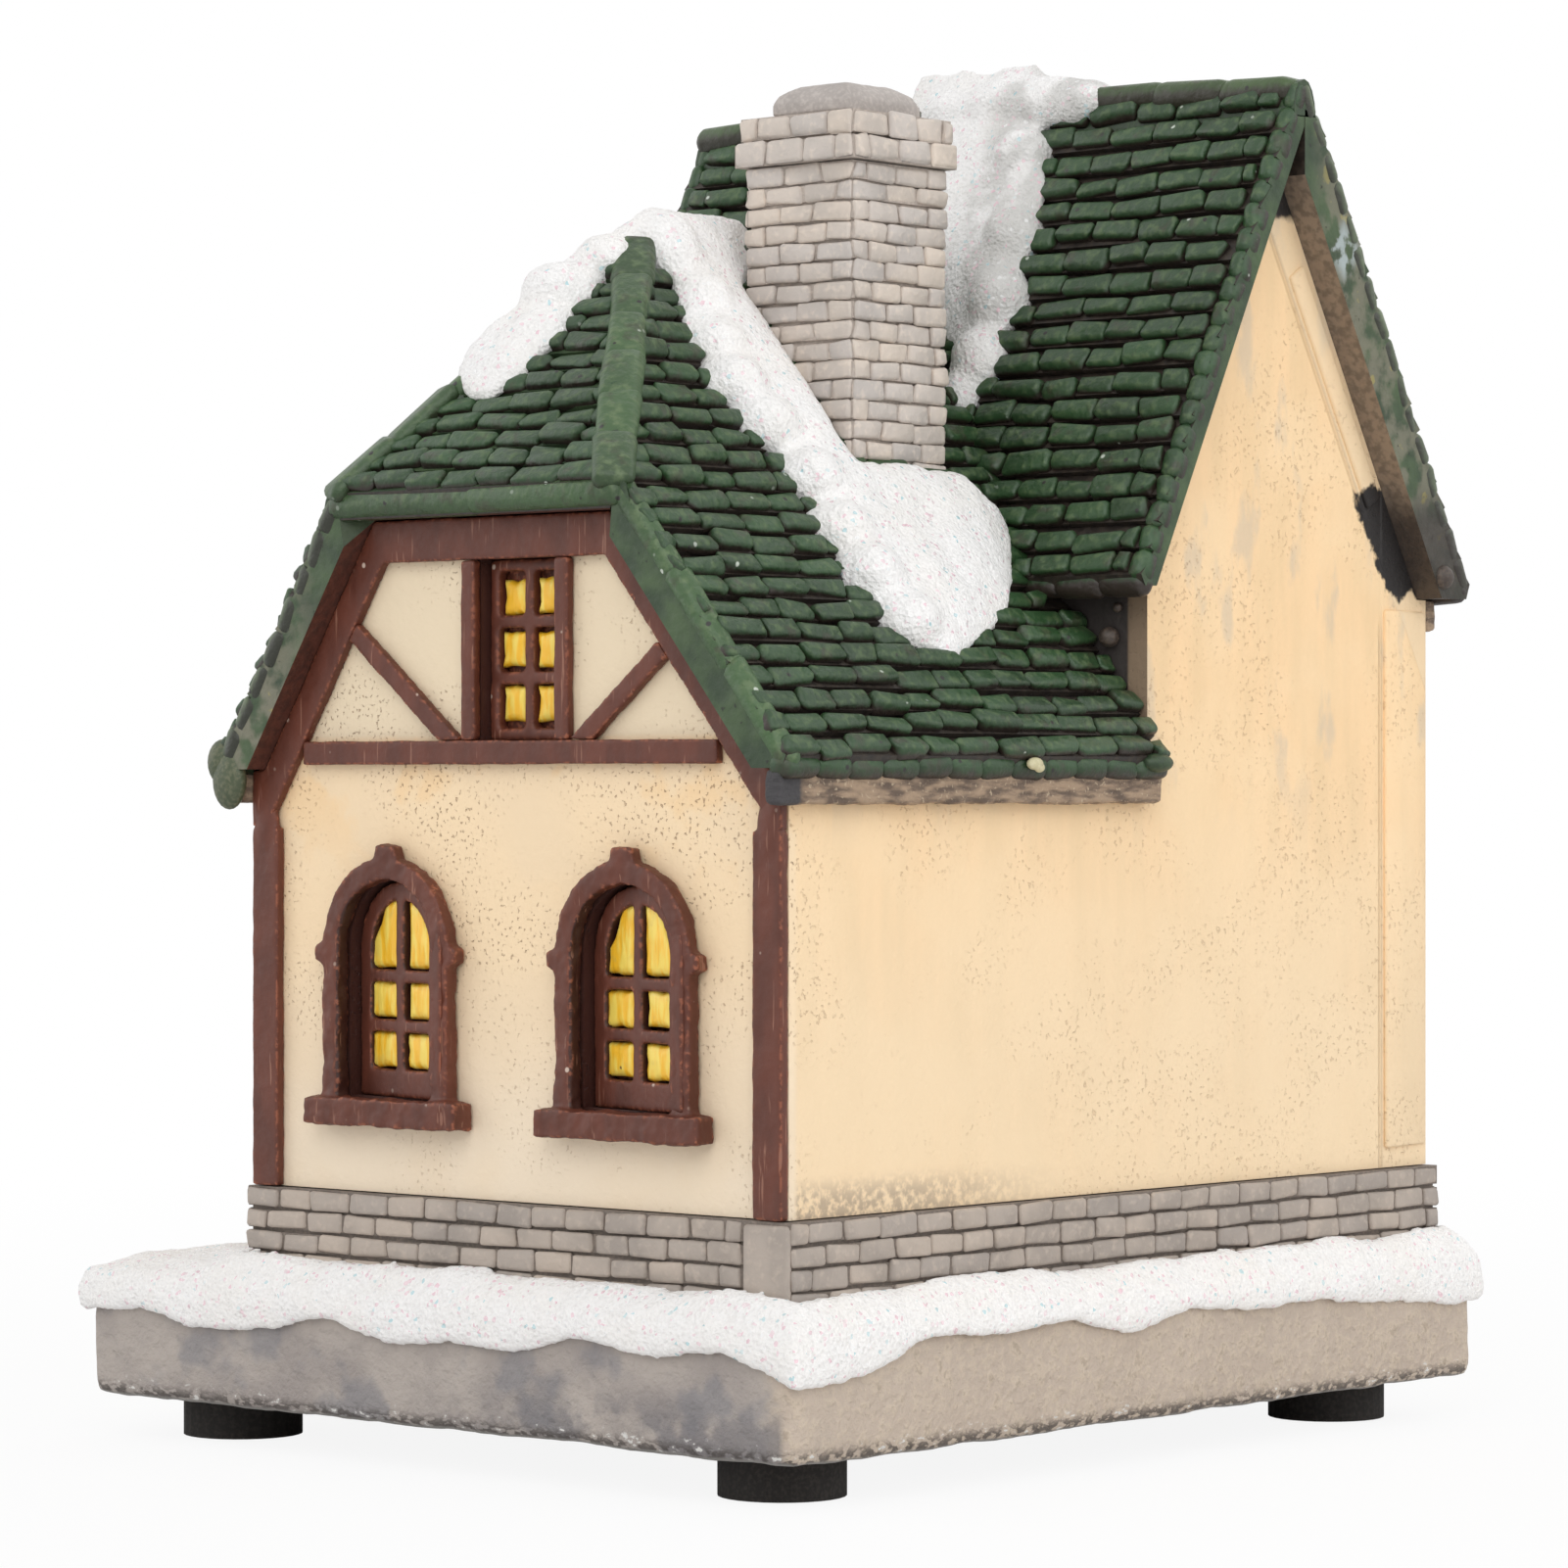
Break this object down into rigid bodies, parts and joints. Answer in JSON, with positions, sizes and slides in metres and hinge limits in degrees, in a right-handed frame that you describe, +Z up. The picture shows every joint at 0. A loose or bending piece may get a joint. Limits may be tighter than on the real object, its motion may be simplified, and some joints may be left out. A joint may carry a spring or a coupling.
{
  "type": "christmas village house",
  "caption": "Cast half-timbered cottage on a snowy stone base, with tiled gable roofs, a brick chimney, arched windows and a coin-cell light unit underneath.",
  "frame": {"origin": "middle of the base slab, on the plane that the feet stand on", "axes": "+Z up; -Y towards the timbered gable front; +X towards the blank side wall, the right of the front"},
  "size_m": [0.0804, 0.0904, 0.1174],
  "materials": {
    "stone": "grey painted cast resin, warm beige on one side, fine wormlike texture and chipped lower edge",
    "snow": "white granular coating with pink and turquoise glitter",
    "brick": "grey painted resin bricks with dark joints",
    "stucco": "cream painted resin with small pits and brush streaks",
    "timber": "brown painted resin with pale worn edges",
    "pane": "translucent plastic painted yellow by hand",
    "tile": "dark green painted resin tiles with black-brown wash in the joints",
    "board": "grey-brown painted resin",
    "chimney": "pale grey painted resin bricks with thin dark joints",
    "foam": "black adhesive foam",
    "black_plastic": "black moulded plastic",
    "steel": "nickel-plated steel",
    "board_green": "green lacquered circuit board",
    "led_lens": "warm white epoxy lens"
  },
  "bodies": {
    "house": {"attic_stud_left": "timber", "attic_stud_right": "timber", "attic_window_panes": "pane", "attic_window_sash": "timber", "base_slab": "stone", "base_snow": "snow", "brace_left": "timber", "brace_right": "timber", "brick_plinth": "brick", "chimney_crown": "chimney", "chimney_flue": "chimney", "chimney_shaft": "chimney", "circuit_board": "board_green", "coin_cell": "steel", "contact_negative": "steel", "contact_positive": "steel", "corner_post_left": "timber", "corner_post_right": "timber", "door_leaf": "timber", "door_step": "stone", "door_surround": "timber", "eave_board_left": "board", "eave_board_rear": "board", "eave_board_right": "board", "foot_back_left": "foam", "foot_back_right": "foam", "foot_front_left": "foam", "foot_front_right": "foam", "front_window_left_panes": "pane", "front_window_left_sash": "timber", "front_window_left_surround": "timber", "front_window_right_panes": "pane", "front_window_right_sash": "timber", "front_window_right_surround": "timber", "gable_rafters": "timber", "hip_cap_left": "tile", "hip_cap_right": "tile", "house_walls": "stucco", "led": "led_lens", "light_housing": "black_plastic", "main_ridge_cap": "tile", "main_roof_back": "tile", "main_roof_front": "tile", "main_roof_snow": "snow", "side_attic_window_panes": "pane", "side_attic_window_sash": "timber", "side_gable_timbers": "timber", "side_window_panes": "pane", "side_window_sash": "timber", "side_window_surround": "timber", "tie_beam": "timber", "wing_hip": "tile", "wing_ridge_cap": "tile", "wing_roof_left": "tile", "wing_roof_right": "tile", "wing_snow": "snow"},
    "battery_door": {"battery_door": "black_plastic"},
    "door_screw": {"door_screw": "steel"},
    "switch_slider": {"switch_slider": "black_plastic"}
  },
  "joints": [
    {"name": "battery_door_hinge", "type": "hinge", "parent": "house", "child": "battery_door", "pos_m": [-0.0133, 0, 0.0035], "axis": [0, 1, 0], "range_deg": [0, 75]},
    {"name": "door_screw_turn", "type": "hinge", "parent": "battery_door", "child": "door_screw", "pos_m": [0.0083, 0.0085, 0.0035], "axis": [0, 0, 1], "continuous": true},
    {"name": "switch_slide", "type": "slide", "parent": "house", "child": "switch_slider", "axis": [1, 0, 0], "range_m": [0, 0.0024]}
  ]
}
